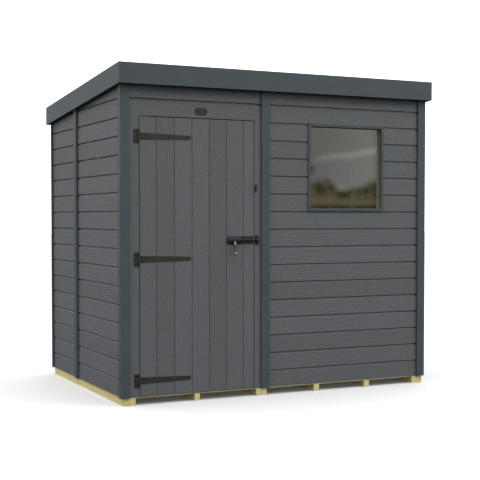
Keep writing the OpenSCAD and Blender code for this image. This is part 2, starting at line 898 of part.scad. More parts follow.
// ---- window ----
// four mitred bars round the window, from depth y0 to y1, w wide from the given inset
module mitred_ring(inset, w, y0, y1) {
    x0 = window_x0 + inset;
    x1 = window_x1 - inset;
    z0 = window_z0 + inset;
    z1 = window_z1 - inset;
    g = mitre_gap;
    outlines = [
        [[x0 + g, z0], [x1 - g, z0], [x1 - w - g, z0 + w], [x0 + w + g, z0 + w]],
        [[x0 + g, z1], [x1 - g, z1], [x1 - w - g, z1 - w], [x0 + w + g, z1 - w]],
        [[x0, z0 + g], [x0, z1 - g], [x0 + w, z1 - w - g], [x0 + w, z0 + w + g]],
        [[x1, z0 + g], [x1, z1 - g], [x1 - w, z1 - w - g], [x1 - w, z0 + w + g]]];
    for (outline = outlines)
        translate([0, y1, 0]) rotate([90, 0, 0]) linear_extrude(y1 - y0) polygon(outline);
}

module window_trim() {
    color(trim_paint) mitred_ring(0, window_trim_w, door_face - window_trim_t, door_face);
}

// frame timbers behind the boards, rebated on the room side for the glass
module window_frame() {
    outer = window_trim_w - sash_w;
    color(timber) {
        mitred_ring(outer, sash_w, -lining_y, glass_face);
        mitred_ring(outer, sash_w - glass_rebate, glass_face - eps, -room_y);
    }
}

module window_glass() {
    edge = window_trim_w - glass_rebate + glass_fit;
    color("#8fa3a8") block(window_x0 + edge, window_x1 - edge, glass_face,
        glass_face + glass_t, window_z0 + edge, window_z1 - edge);
}

// ---- plate over the door ----
module badge_plate() {
    clip = badge_h / 4;
    color(iron) translate([(door_x0 + door_x1) / 2 + badge_shift, door_face,
        opening_top + badge_rise]) rotate([90, 0, 0])
        linear_extrude(metal_t) polygon([[-badge_w / 2, -badge_h / 2 + clip],
            [-badge_w / 2 + clip, -badge_h / 2], [badge_w / 2 - clip, -badge_h / 2],
            [badge_w / 2, -badge_h / 2 + clip], [badge_w / 2, badge_h / 2 - clip],
            [badge_w / 2 - clip, badge_h / 2], [-badge_w / 2 + clip, badge_h / 2],
            [-badge_w / 2, badge_h / 2 - clip]]);
}

bearers();
floor_panels();
hinge_side_post();
lock_side_post();
over_door_panel();
window_panel();
left_front_panel();
left_rear_panel();
right_front_panel();
right_rear_panel();
back_left_panel();
back_right_panel();
front_studs();
back_studs();
left_studs();
right_studs();
front_rails();
back_rails();
left_rails();
right_rails();
corner_trims();
seam_trims();
rafters();
roof_deck_left();
roof_deck_right();
roof_felt();
front_fascia();
back_fascia();
left_fascia();
right_fascia();
door_boards();
door_ledges();
door_braces();
hinge_straps();
hinge_plates();
bolt_casing();
bolt_rod();
bolt_handle();
bolt_keeper();
turn_button();
button_screw();
window_trim();
window_frame();
window_glass();
badge_plate();
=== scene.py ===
import math
import random

import bmesh
import bpy
from mathutils import Matrix, Vector


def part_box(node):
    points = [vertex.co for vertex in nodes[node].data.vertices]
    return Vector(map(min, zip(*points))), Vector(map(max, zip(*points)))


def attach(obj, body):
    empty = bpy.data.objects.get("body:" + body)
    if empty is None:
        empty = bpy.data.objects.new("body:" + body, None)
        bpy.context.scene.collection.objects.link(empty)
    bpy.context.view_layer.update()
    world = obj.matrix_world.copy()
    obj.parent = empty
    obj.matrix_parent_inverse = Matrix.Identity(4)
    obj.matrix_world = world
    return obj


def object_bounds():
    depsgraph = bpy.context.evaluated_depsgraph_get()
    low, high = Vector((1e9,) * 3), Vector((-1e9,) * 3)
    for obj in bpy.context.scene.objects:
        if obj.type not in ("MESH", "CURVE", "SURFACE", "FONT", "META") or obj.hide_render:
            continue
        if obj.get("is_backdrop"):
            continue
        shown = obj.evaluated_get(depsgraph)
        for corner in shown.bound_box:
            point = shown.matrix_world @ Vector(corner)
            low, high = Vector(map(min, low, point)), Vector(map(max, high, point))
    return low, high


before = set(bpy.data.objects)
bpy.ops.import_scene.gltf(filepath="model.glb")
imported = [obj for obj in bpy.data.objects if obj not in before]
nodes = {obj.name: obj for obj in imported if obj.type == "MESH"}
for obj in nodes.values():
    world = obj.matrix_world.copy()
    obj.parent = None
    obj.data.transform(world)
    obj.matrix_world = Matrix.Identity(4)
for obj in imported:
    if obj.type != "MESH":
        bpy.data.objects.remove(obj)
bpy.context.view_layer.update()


# ---- bearers and floor ----
# Sawn softwood bearers and a boarded floor, pressure treated, so that they are a pale yellow
# green. The floor lies across the bearers and the walls stand on it.
class Nodes:
    """Adds nodes to one tree and links them."""

    def __init__(self, tree):
        self.tree = tree
        self.count = 0

    def feed(self, node, inputs):
        """Links each input to the output it is given, or sets it to the constant it is given."""
        for key, value in inputs.items():
            if isinstance(value, bpy.types.NodeSocket):
                self.tree.links.new(value, node.inputs[key])
            else:
                node.inputs[key].default_value = value

    def add(self, kind, inputs=None, **settings):
        node = self.tree.nodes.new(kind)
        self.count += 1
        node.location = (200 * (self.count % 8), -220 * (self.count // 8))
        for key, value in settings.items():
            setattr(node, key, value)
        self.feed(node, inputs or {})
        return node

    def place(self):
        """The position on the piece, in metres."""
        return self.add("ShaderNodeTexCoord").outputs["Object"]

    def split(self, place):
        """The three parts of a position."""
        return self.add("ShaderNodeSeparateXYZ", {0: place}).outputs

    def stretch(self, place, factors):
        """A position multiplied axis by axis."""
        both = {0: place, 1: factors}
        return self.add("ShaderNodeVectorMath", both, operation="MULTIPLY").outputs[0]

    def math(self, operation, a, b=0.0, c=0.0):
        return self.add("ShaderNodeMath", {0: a, 1: b, 2: c}, operation=operation).outputs[0]

    def spread(self, value, low, high, to_low=0.0, to_high=1.0):
        """A value taken from one range to another, and kept inside it."""
        ranges = {"Value": value, 1: low, 2: high, 3: to_low, 4: to_high}
        return self.add("ShaderNodeMapRange", ranges).outputs[0]

    def mix(self, factor, a, b):
        """Two colours mixed. Inputs 6 and 7 and output 2 are the node's colour sockets."""
        return self.add("ShaderNodeMix", {0: factor, 6: a, 7: b}, data_type="RGBA").outputs[2]

    def noise(self, place, scale, detail):
        pattern = {"Vector": place, "Scale": scale, "Detail": detail}
        return self.add("ShaderNodeTexNoise", pattern).outputs["Fac"]

    def bump(self, height, depth):
        """The normal of a surface with small bumps, depth metres high."""
        relief = {"Height": height, "Distance": depth, "Strength": 1.0}
        return self.add("ShaderNodeBump", relief).outputs[0]


def new_group(name, inputs, outputs):
    """An empty node group. Each socket's kind is Float, Vector or Color."""
    group = bpy.data.node_groups.new(name, "ShaderNodeTree")
    for side, sockets in (("INPUT", inputs), ("OUTPUT", outputs)):
        for label, kind in sockets.items():
            group.interface.new_socket(label, in_out=side, socket_type="NodeSocket" + kind)
    n = Nodes(group)
    return group, n, n.add("NodeGroupInput").outputs


def make_grain():
    """Wood grain on a board that runs along the first axis of Vector. Board tells boards apart."""
    group, n, given = new_group(
        "wood grain",
        {"Vector": "Vector", "Board": "Float"},
        {"Rings": "Float", "Fibre": "Float", "Knots": "Float", "Tone": "Float"},
    )
    # each board is cut from another place in the log
    lot = n.add("ShaderNodeTexWhiteNoise", {"W": given["Board"]}, noise_dimensions="1D")
    jump = n.stretch(lot.outputs["Color"], (37.0, 37.0, 37.0))
    cut = n.add("ShaderNodeVectorMath", {0: given["Vector"], 1: jump}, operation="ADD").outputs[0]

    # knots, long along the board, which bend the rings round them
    knot_place = n.stretch(cut, (3.2, 9.0, 9.0))
    from_knot = n.add("ShaderNodeTexVoronoi", {"Vector": knot_place, "Scale": 1.0})
    from_knot = from_knot.outputs["Distance"]
    knots = n.spread(from_knot, 0.0, 0.16, 1.0, 0.0)
    bend = n.spread(from_knot, 0.0, 0.6, 0.35, 0.0)

    half_rings_per_m, sway_in_rings = 170.0, 9.0
    sway = n.noise(n.stretch(cut, (2.2, 14.0, 14.0)), 1.0, 2.0)
    _, y, z = n.split(cut)
    ring = n.math("MULTIPLY", n.math("ADD", y, z), half_rings_per_m)
    ring = n.math("ADD", ring, n.math("MULTIPLY", sway, sway_in_rings))
    ring = n.math("ADD", ring, n.math("MULTIPLY", bend, sway_in_rings))
    rings = n.math("MULTIPLY_ADD", n.math("SINE", n.math("MULTIPLY", ring, math.pi)), 0.5, 0.5)

    fibre = n.noise(n.stretch(cut, (9.0, 340.0, 340.0)), 1.0, 3.0)
    leave = {"Rings": rings, "Fibre": fibre, "Knots": knots, "Tone": lot.outputs["Value"]}
    n.add("NodeGroupOutput", leave)
    return group


def make_bare_wood():
    """The colours of bare wood laid over its grain, and the relief of sawn or planed wood."""
    group, n, given = new_group(
        "bare wood",
        {
            "Rings": "Float", "Fibre": "Float", "Knots": "Float",
            "Pale": "Color", "Ring": "Color", "Knot": "Color",
        },
        {"Colour": "Color", "Height": "Float"},
    )
    rings = n.math("POWER", given["Rings"], 2.5)
    colour = n.mix(n.math("MULTIPLY", rings, 0.5), given["Pale"], given["Ring"])
    colour = n.mix(n.spread(given["Fibre"], 0.35, 0.7, 0.0, 0.35), colour, given["Ring"])
    colour = n.mix(n.math("MULTIPLY", given["Knots"], 0.8), colour, given["Knot"])
    height = n.math("ADD", given["Fibre"], n.math("MULTIPLY", rings, 0.4))
    n.add("NodeGroupOutput", {"Colour": colour, "Height": height})
    return group


def new_material(name):
    """A material with one shader. Also returned are its nodes, its shader and its output."""
    material = bpy.data.materials.new(name)
    material.use_nodes = True
    material.node_tree.nodes.clear()
    n = Nodes(material.node_tree)
    surface = n.add("ShaderNodeBsdfPrincipled")
    leave = n.add("ShaderNodeOutputMaterial", {"Surface": surface.outputs[0]})
    return material, n, surface, leave


def board_place(n, along):
    """The position on the piece, turned so that its boards run along the first axis."""
    x, y, z = n.split(n.place())
    order = {"x": (x, y, z), "y": (y, x, z), "z": (z, y, x)}[along]
    return n.add("ShaderNodeCombineXYZ", dict(enumerate(order))).outputs[0]


def dress(material, *names):
    """Gives CAD pieces their finish."""
    for name in names:
        slots = nodes[name].data.materials
        slots.clear()
        slots.append(material)


grain_group = make_grain()
bare_wood_group = make_bare_wood()
painted_shade_blue = (0.13, 0.14, 0.17, 1)


def bare_timber(name, colours, along, underside=None):
    """Bare wood that runs along one axis. Where the height of its underside is given, a painted
    shade of blue grey darkens it, least on that underside.
    """
    material, n, surface, _ = new_material(name)
    place = board_place(n, along)
    grain = n.add("ShaderNodeGroup", {"Vector": place}, node_tree=grain_group)
    wood = dict(zip(("Pale", "Ring", "Knot"), colours))
    for label in ("Rings", "Fibre", "Knots"):
        wood[label] = grain.outputs[label]
    wood = n.add("ShaderNodeGroup", wood, node_tree=bare_wood_group)
    colour = wood.outputs["Colour"]
    if underside is not None:
        up = n.split(n.place())["Z"]
        # painted shade: blue grey mixed in, 0.3 on the underside and 0.55 on the top and edges
        painted_shade_mix = n.spread(up, underside, underside + 0.004, 0.3, 0.55)
        colour = n.mix(painted_shade_mix, colour, painted_shade_blue)
    normal = n.bump(wood.outputs["Height"], 0.0004)
    n.feed(surface, {"Base Color": colour, "Roughness": 0.75, "Normal": normal})
    return material


# the colours of each wood: between the rings, on the rings, and in the knots
treated = ((0.87, 0.77, 0.37, 1), (0.46, 0.36, 0.12, 1), (0.22, 0.13, 0.05, 1))
bearer_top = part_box("bearers")[1].z
dress(bare_timber("treated bearers", treated, "y"), "bearers")
# the floor boards carry a painted shade, more on their top and edges than underneath
dress(bare_timber("treated floor boards", treated, "x", underside=bearer_top), "floor_panels")


# ---- wall frames ----
# Studs and rails of planed softwood inside the boards, bare, seen through the window and the
# open door. Studs and rails are butted and nailed.
softwood = ((0.72, 0.57, 0.36, 1), (0.58, 0.40, 0.21, 1), (0.26, 0.14, 0.06, 1))
dress(
    bare_timber("softwood studs", softwood, "z"),
    "front_studs", "back_studs", "left_studs", "right_studs",
)
dress(bare_timber("softwood rails along the front", softwood, "x"), "front_rails", "back_rails")
dress(bare_timber("softwood rails along the sides", softwood, "y"), "left_rails", "right_rails")


# ---- shiplap walls ----
# Composite shiplap boards with an embossed wood grain, coated in a neutral mid grey. Each board
# overlaps the next one below. The line of shade in its scooped shoulder is painted shade, and so
# is the dark hole behind each trim.
x_axis, y_axis, z_axis = 0, 1, 2
board_cover = 0.110     # the height of each board that shows
first_lap = 0.157       # the height of the lowest lap
# lip_shade, hole_h and trim_shade size two painted shades: a line under each lap, and a dark hole
# beside each trim
lip_shade = 0.017       # how far the shade reaches down from a lap
scoop_depth = 0.0085    # the depth of the scooped shoulder
hole_h = 0.014          # the height of the hole that the scoop leaves behind a trim
trim_shade = 0.004      # how far that hole shows beside the trim
board_grey = (0.139, 0.146, 0.158, 1)
board_grey_dark = (0.116, 0.122, 0.134, 1)
# colours of the painted shade in the groove under each lap and in the hole behind a trim
groove_shade = (0.055, 0.058, 0.063, 1)
hole_shade = (0.004, 0.004, 0.005, 1)


def loose_parts(name):
    """The lowest and highest corner of each separate solid of a node."""
    work = bmesh.new()
    work.from_mesh(nodes[name].data)
    bmesh.ops.remove_doubles(work, verts=work.verts, dist=1e-6)
    parts = []
    waiting = set(work.verts)
    while waiting:
        front = [waiting.pop()]
        part = list(front)
        while front:
            vert = front.pop()
            for edge in vert.link_edges:
                other = edge.other_vert(vert)
                if other in waiting:
                    waiting.remove(other)
                    front.append(other)
                    part.append(other)
        corners = [[pick(v.co[i] for v in part) for i in range(3)] for pick in (min, max)]
        parts.append((Vector(corners[0]), Vector(corners[1])))
    work.free()
    return sorted(parts, key=lambda part: tuple(part[0]))


def trims_over(axis, *names):
    """Each trim's middle and half width along a wall, then its middle height and half height."""
    covers = set()
    for name in names:
        for low, high in loose_parts(name):
            middle, half = (low + high) / 2, (high - low) / 2
            cover = (middle[axis], half[axis] + trim_shade, middle.z, half.z)
            covers.add(tuple(round(value, 4) for value in cover))
    return sorted(covers)


def make_board_paint():
    """Grey paint over embossed grain, worn pale on the high grain, with fine pores along it."""
    group, n, given = new_group(
        "board paint",
        {"Vector": "Vector", "Rings": "Float", "Fibre": "Float", "Tone": "Float"},
        {"Colour": "Color", "Worn": "Float", "Height": "Float"},
    )
    rings = n.math("POWER", given["Rings"], 3.0)
    worn = n.math("MULTIPLY", n.spread(given["Fibre"], 0.3, 0.7), 0.6)
    worn = n.math("ADD", worn, n.math("MULTIPLY", rings, 0.4))
    board_tone = n.spread(given["Tone"], 0.0, 1.0, 0.94, 1.05)
    pores = n.noise(n.stretch(given["Vector"], (1.0, 2.2, 2.2)), 95.0, 2.0)
    tone = n.math("ADD", board_tone, n.spread(pores, 0.3, 0.7, -0.22, 0.22))
    colour = {"Color": n.mix(worn, board_grey_dark, board_grey), "Value": tone}
    colour = n.add("ShaderNodeHueSaturation", colour).outputs[0]
    height = n.math("ADD", n.math("MULTIPLY", rings, 0.7), given["Fibre"])
    n.add("NodeGroupOutput", {"Colour": colour, "Worn": worn, "Height": height})
    return group


board_paint_group = make_board_paint()


def painted_boards(name, along, cover, start, lapped=True, trims=(), face=0.0):
    """Painted boards along one axis. On lapped boards a painted shade darkens the groove under
    each lap.

    Where a trim crosses a groove, a nearly black painted shade fills the hole behind the trim.
    """
    material, n, surface, _ = new_material(name)
    place = board_place(n, along)
    run, depth, across = n.split(place)
    from_start = n.math("SUBTRACT", across, start)
    board = n.math("FLOOR", n.math("DIVIDE", from_start, cover))
    in_board = n.math("FLOORED_MODULO", from_start, cover)
    grain = n.add("ShaderNodeGroup", {"Vector": place, "Board": board}, node_tree=grain_group)
    paint = {label: grain.outputs[label] for label in ("Rings", "Fibre", "Tone")}
    paint = n.add("ShaderNodeGroup", {"Vector": place, **paint}, node_tree=board_paint_group)
    colour, worn = paint.outputs["Colour"], paint.outputs["Worn"]
    roughness = n.spread(worn, 0.0, 1.0, 0.62, 0.5)
    if lapped:
        # painted shade in the groove under each lap
        groove_shade_mask = n.spread(in_board, cover - lip_shade, cover - 0.15 * lip_shade)
        colour = n.mix(groove_shade_mask, colour, groove_shade)
        crossed = 0.0
        # nearly black painted shade where the scoop runs on behind a trim
        for middle, half, middle_z, half_z in trims:
            beside = n.math("COMPARE", run, middle, half)
            level = n.math("COMPARE", across, middle_z, half_z)
            crossed = n.math("MAXIMUM", crossed, n.math("MULTIPLY", beside, level))
        behind = n.math("GREATER_THAN", n.math("ABSOLUTE", depth), face - scoop_depth)
        under_lap = n.spread(in_board, cover - hole_h, cover - 0.85 * hole_h)
        hole_shade_mask = n.math("MULTIPLY", n.math("MULTIPLY", behind, under_lap), crossed)
        colour = n.mix(hole_shade_mask, colour, hole_shade)
        roughness = n.math("MAXIMUM", roughness, hole_shade_mask)
    n.feed(surface, {
        "Base Color": colour,
        "Roughness": roughness,
        "Specular IOR Level": 0.35,
        "Normal": n.bump(paint.outputs["Height"], 0.0007),
    })
    return material


front_boards = painted_boards(
    "painted shiplap along the front", "x", board_cover, first_lap,
    trims=trims_over(x_axis, "corner_trims", "seam_trims", "window_trim"),
    face=-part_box("window_panel")[0].y,
)
back_boards = painted_boards(
    "painted shiplap along the back", "x", board_cover, first_lap,
    trims=trims_over(x_axis, "corner_trims", "seam_trims"),
    face=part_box("back_left_panel")[1].y,
)
side_boards = painted_boards(
    "painted shiplap along the sides", "y", board_cover, first_lap,
    trims=trims_over(y_axis, "corner_trims", "seam_trims"),
    face=-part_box("left_front_panel")[0].x,
)
dress(front_boards, "over_door_panel", "window_panel")
dress(back_boards, "back_left_panel", "back_right_panel")
dress(
    side_boards,
    "left_front_panel", "left_rear_panel", "right_front_panel", "right_rear_panel",
)


# Flat nail heads, painted over, one through each board at every stud.
def head_shape(radius, height, cross):
    """One round head facing up, formed from a small grid, with a cross recess if asked."""
    arm, reach = 0.16 * radius, 0.55 * radius
    flat, edge_height, recess_floor = 0.9, 0.7 * height, 0.4 * height
    lines = (-radius, -reach, -arm, arm, reach, radius)
    segments = len(lines) - 1
    work = bmesh.new()
    bmesh.ops.create_grid(work, x_segments=segments, y_segments=segments, size=1.0)
    for vert in work.verts:
        column, row = (round(segments * (c + 1) / 2) for c in vert.co.xy)
        vert.co = (lines[column], lines[row], height)
    rim = [edge for edge in work.edges if edge.is_boundary]
    for vert in {vert for edge in rim for vert in edge.verts}:
        vert.co.xy = vert.co.xy.normalized() * flat * radius
        vert.co.z = edge_height
    for face in work.faces:
        face.smooth = True
    skirt = bmesh.ops.extrude_edge_only(work, edges=rim)["geom"]
    for vert in (part for part in skirt if isinstance(part, bmesh.types.BMVert)):
        vert.co.xy /= flat
        vert.co.z = 0
    if cross:
        slots = []
        for face in work.faces:
            away = sorted(abs(c) for c in face.calc_center_median().xy)
            if away[0] < arm / 2 and away[1] < reach:
                slots.append(face)
        sunk = bmesh.ops.extrude_face_region(work, geom=slots)["geom"]
        for vert in (part for part in sunk if isinstance(part, bmesh.types.BMVert)):
            vert.co = (flat * vert.co.x, flat * vert.co.y, recess_floor)
        bmesh.ops.delete(work, geom=slots, context="FACES")
    bmesh.ops.recalc_face_normals(work, faces=work.faces)
    head = bpy.data.meshes.new("head")
    work.to_mesh(head)
    work.free()
    return head


def new_piece(name, work, material):
    """A piece of the shape that is in work, with its finish."""
    mesh = bpy.data.meshes.new(name)
    work.to_mesh(mesh)
    work.free()
    mesh.materials.append(material)
    piece = bpy.data.objects.new(name, mesh)
    bpy.context.scene.collection.objects.link(piece)
    return piece


def fixings(name, body, material, spots, radius, height, cross=False, out=(0, -1, 0)):
    """Screw or nail heads, one on each spot, facing out."""
    head = head_shape(radius, height, cross)
    facing = Vector(out).to_track_quat("Z", "Y").to_matrix().to_4x4()
    work = bmesh.new()
    for spot in spots:
        turn = Matrix.Rotation(random.uniform(0, math.tau), 4, "Z")
        placed = head.copy()
        placed.transform(Matrix.Translation(spot) @ facing @ turn)
        work.from_mesh(placed)
        bpy.data.meshes.remove(placed)
    bpy.data.meshes.remove(head)
    piece = new_piece(name, work, material)
    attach(piece, body)


def close_to(spot, box, axes=(x_axis, y_axis, z_axis)):
    """Whether a nail would go under a trim or come out right beside it."""
    low, high = box
    return all(low[i] - trim_margin < spot[i] < high[i] + trim_margin for i in axes)


random.seed(7)
nail_r, nail_h = 0.0032, 0.0007
nail_above_lap = 0.032
nail_wander = 0.004
trim_margin = 0.006
stud_end_margin = 0.05
window_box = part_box("window_trim")
trim_parts = []
for name in ("corner_trims", "seam_trims", "window_trim"):
    trim_parts.extend(loose_parts(name))
for wall, run, out, sign, panels, painted in (
    ("front", x_axis, y_axis, -1, ("window_panel", "over_door_panel"), front_boards),
    ("back", x_axis, y_axis, 1, ("back_left_panel", "back_right_panel"), back_boards),
    ("left", y_axis, x_axis, -1, ("left_front_panel", "left_rear_panel"), side_boards),
    ("right", y_axis, x_axis, 1, ("right_front_panel", "right_rear_panel"), side_boards),
):
    spots = []
    for stud_low, stud_high in loose_parts(wall + "_studs"):
        middle = (stud_low[run] + stud_high[run]) / 2
        for panel in panels:
            panel_low, panel_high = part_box(panel)
            if not panel_low[run] < middle < panel_high[run]:
                continue
            z = first_lap - board_cover + nail_above_lap
            while z < stud_high.z - stud_end_margin:
                spot = Vector((0, 0, z))
                spot[run] = middle + random.uniform(-nail_wander, nail_wander)
                spot[out] = (panel_low if sign < 0 else panel_high)[out]
                hidden = any(close_to(spot, box) for box in trim_parts)
                in_window = wall == "front" and close_to(spot, window_box, (x_axis, z_axis))
                if z > panel_low.z and not hidden and not in_window:
                    spots.append(spot)
                z += board_cover
    outward = Vector((0, 0, 0))
    outward[out] = sign
    fixings(
        wall + "_wall_nails", "shed", painted, spots, nail_r, nail_h, out=outward
    )


# ---- trims and fascias ----
# Planed strips over the corners and panel seams, round the window and along the roof's edges,
# brushed with a smooth blue-grey paint.
trim_blue = (0.074, 0.093, 0.104, 1)
trim_blue_dark = (0.066, 0.085, 0.096, 1)


def smooth_paint():
    material, n, surface, _ = new_material("smooth trim paint")
    place = n.place()
    cloud = n.noise(place, 4.0, 4.0)
    brush = n.noise(place, 260.0, 2.0)
    n.feed(surface, {
        "Base Color": n.mix(n.spread(cloud, 0.35, 0.65), trim_blue_dark, trim_blue),
        "Roughness": 0.5,
        "Specular IOR Level": 0.3,
        "Normal": n.bump(brush, 0.0002),
    })
    return material


dress(
    smooth_paint(),
    "corner_trims", "seam_trims", "window_trim",
    "front_fascia", "back_fascia", "left_fascia", "right_fascia",
)


# ---- roof ----
# Rafters and roof boards of bare softwood under green-black mineral felt. The felt is laid
# inside the fascia boards in three widths, from the low side up. Each laps the one below.
dress(bare_timber("softwood rafters", softwood, "y"), "rafters")
dress(bare_timber("softwood roof boards", softwood, "x"), "roof_deck_left", "roof_deck_right")
felt_black = (0.015, 0.017, 0.017, 1)
felt_grit = (0.075, 0.082, 0.078, 1)
felt_dust = (0.05, 0.05, 0.045, 1)


def mineral_felt():
    material, n, surface, _ = new_material("mineral felt")
    place = n.place()
    grit = n.noise(place, 900.0, 2.0)
    patch = n.noise(place, 3.0, 5.0)
    colour = n.mix(n.spread(grit, 0.4, 0.62), felt_black, felt_grit)
    colour = n.mix(n.spread(patch, 0.4, 0.7, 0.0, 0.3), colour, felt_dust)
    n.feed(surface, {"Base Color": colour, "Roughness": 0.9, "Normal": n.bump(grit, 0.001)})
    return material


felt = mineral_felt()
dress(felt, "roof_felt")
felt_low, felt_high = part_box("roof_felt")
felt_t = 0.003
felt_slope = (felt_high.z - felt_low.z - felt_t) / (felt_high.y - felt_low.y)
lap_edges = (-0.20, 0.30)


def felt_top(y):
    return felt_high.z - (y - felt_low.y) * felt_slope


def felt_lap(name, edge_y):
    """The lower edge of one width, cut by hand, where it lies on the next one down."""
    steps = 60
    rise = 0.0022
    edges, lifts = [], []
    for _ in range(steps + 1):
        edges.append(edge_y + random.uniform(-0.002, 0.002))
        lifts.append(rise * random.uniform(0.85, 1.15))
    # from its upper edge to its lower: the distance up the slope, and the height over the felt
    back = (0.075, 0.01, 0.001, 0.0, 0.0)
    base_lift = (0.0002, 0.0, 0.0, 0.0, -0.0005)
    share_of_lift = (0.0, 0.8, 1.0, 0.6, 0.0)
    rows = len(back) - 1
    work = bmesh.new()
    bmesh.ops.create_grid(work, x_segments=steps, y_segments=rows, size=0.5)
    for vert in work.verts:
        along = vert.co.x + 0.5
        column, row = round(along * steps), round(rows * (vert.co.y + 0.5))
        vert.co.x = felt_low.x + (felt_high.x - felt_low.x) * along
        vert.co.y = edges[column] - back[row]
        vert.co.z = felt_top(vert.co.y) + base_lift[row] + share_of_lift[row] * lifts[column]
    bmesh.ops.recalc_face_normals(work, faces=work.faces)
    piece = new_piece(name, work, felt)
    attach(piece, "shed")


for number, edge_y in enumerate(lap_edges):
    felt_lap("felt_lap_%d" % (number + 1), edge_y)


# Galvanised clout nails hold the felt along its edges and under each lap's edge.
def zinc():
    material, n, surface, _ = new_material("galvanised nails")
    spangle = n.add("ShaderNodeTexVoronoi", {"Vector": n.place(), "Scale": 700.0})
    colour = n.mix(spangle.outputs["Distance"], (0.22, 0.23, 0.24, 1), (0.34, 0.35, 0.36, 1))
    n.feed(surface, {"Base Color": colour, "Metallic": 0.8, "Roughness": 0.5})
    return material


galvanised = zinc()
clout_r, clout_h = 0.006, 0.0012
clout_gap = 0.1
clout_inset = 0.02
clout_wander = 0.01
lap_rows = [edge_y - clout_inset for edge_y in lap_edges]
clout_spots = []
for i in range(1, int((felt_high.x - felt_low.x) / clout_gap)):
    x = felt_low.x + i * clout_gap
    for y in (felt_low.y + clout_inset, *lap_rows, felt_high.y - clout_inset):
        on_lap = 0.0012 if y in lap_rows else 0.0
        x_here = x + random.uniform(-clout_wander, clout_wander)
        clout_spots.append((x_here, y, felt_top(y) + on_lap))
for i in range(1, int((felt_high.y - felt_low.y) / clout_gap)):
    y = felt_low.y + i * clout_gap
    for x in (felt_low.x + clout_inset, felt_high.x - clout_inset):
        clout_spots.append((x, y, felt_top(y)))
fixings(
    "felt_clouts", "shed", galvanised, clout_spots, clout_r, clout_h,
    out=(0, felt_slope, 1),
)


# ---- ironwork ----
# Hinges, turn button and the plate over the door are pressed steel with a satin black epoxy
# coat, slightly brown where it is worn. The bolt and its keeper are the same steel, but duller.
def make_epoxy_coat():
    """A baked coat: cloudy patches in its colour, and a fine orange peel on its surface."""
    group, n, given = new_group(
        "epoxy coat", {"Vector": "Vector"}, {"Patches": "Float", "Peel": "Float"}
    )
    patches = n.noise(given["Vector"], 90.0, 4.0)
    peel = n.noise(given["Vector"], 700.0, 2.0)
    n.add("NodeGroupOutput", {"Patches": patches, "Peel": peel})
    return group


epoxy_group = make_epoxy_coat()


def coated_iron(name, dark, pale, roughness, gloss):
    material, n, surface, _ = new_material(name)
    coat = n.add("ShaderNodeGroup", {"Vector": n.place()}, node_tree=epoxy_group)
    patches = coat.outputs["Patches"]
    n.feed(surface, {
        "Base Color": n.mix(n.spread(patches, 0.35, 0.65), dark, pale),
        "Roughness": n.spread(patches, 0.3, 0.7, roughness - 0.05, roughness + 0.08),
        "Specular IOR Level": gloss,
        "Normal": n.bump(coat.outputs["Peel"], 0.0001),
    })
    return material


satin_iron = coated_iron(
    "black coated iron", (0.021, 0.021, 0.020, 1), (0.031, 0.031, 0.029, 1), 0.5, 0.4
)
dress(satin_iron, "hinge_straps", "hinge_plates", "turn_button", "button_screw", "badge_plate")
dull_iron = coated_iron(
    "dull black iron", (0.028, 0.028, 0.026, 1), (0.040, 0.040, 0.037, 1), 0.6, 0.15
)
dress(dull_iron, "bolt_casing", "bolt_rod", "bolt_keeper")


# The handle has a black plating. Round the middle of its knob and where it leaves the casing it is
# brighter and more reflective, partly rubbed and partly a painted highlight; the foot of the knob
# stays black, a painted shade.
def plated_handle_with_painted_highlights():
    material, n, surface, _ = new_material("handle plating with painted highlights")
    place = n.place()
    low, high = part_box("bolt_handle")
    up = n.split(place)["Z"]
    # painted highlight, partly rubbing: the knob bright round its middle over a black foot of
    # painted shade, and the root over its last 20 mm
    knob_highlight = n.spread(up, low.z + 0.017, low.z + 0.022, 1.0, 0.0)
    knob_highlight = n.math("MULTIPLY", knob_highlight, n.spread(up, low.z + 0.003, low.z + 0.007))
    root_highlight = n.spread(up, high.z - 0.032, high.z - 0.02)
    wear = n.noise(place, 140.0, 4.0)
    black = n.mix(n.spread(wear, 0.35, 0.65), (0.05, 0.05, 0.05, 1), (0.09, 0.09, 0.085, 1))
    n.feed(surface, {
        "Base Color": n.mix(n.math("MAXIMUM", knob_highlight, root_highlight), black, (0.36, 0.36, 0.355, 1)),
        "Roughness": n.spread(wear, 0.3, 0.7, 0.14, 0.24),
        "Metallic": 1.0,
    })
    return material


dress(plated_handle_with_painted_highlights(), "bolt_handle")

# Round black screw heads with a cross recess hold the hinges, the bolt, its keeper and the plate.
screw_iron = coated_iron(
    "black screws", (0.003, 0.003, 0.003, 1), (0.008, 0.008, 0.008, 1), 0.45, 0.1
)
screw_r, screw_h = 0.0043, 0.0011
metal_t = 0.0025
door_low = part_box("door_boards")[0]
metal_face = door_low.y - metal_t


def black_screws(name, body, spots, radius=screw_r, height=screw_h):
    """Screws through ironwork on the front of the shed."""
    fixings(name, body, screw_iron, spots, radius, height, cross=True)


# The screws of each hinge are placed right and up from the middle of its pin.
knuckle_r, strap_half = 0.0045, 0.0205
middle_hinge_drop = 0.0025
strap_low, strap_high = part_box("hinge_straps")
pin_x = strap_low.x + knuckle_r
lowest, highest = strap_low.z + strap_half, strap_high.z - strap_half
hinge_heights = (lowest, (lowest + highest) / 2 - middle_hinge_drop, highest)
strap_screws = ((0.017, 0.012), (0.022, -0.009), (0.047, 0.006), (0.190, 0.0), (0.313, 0.0))
plate_screws = ((-0.0165, 0.027), (-0.0215, 0.0), (-0.0165, -0.027))
for name, body, pattern in (
    ("strap_screws", "door", strap_screws),
    ("plate_screws", "shed", plate_screws),
):
    spots = [(pin_x + x, metal_face, z + rise) for z in hinge_heights for x, rise in pattern]
    black_screws(name, body, spots)

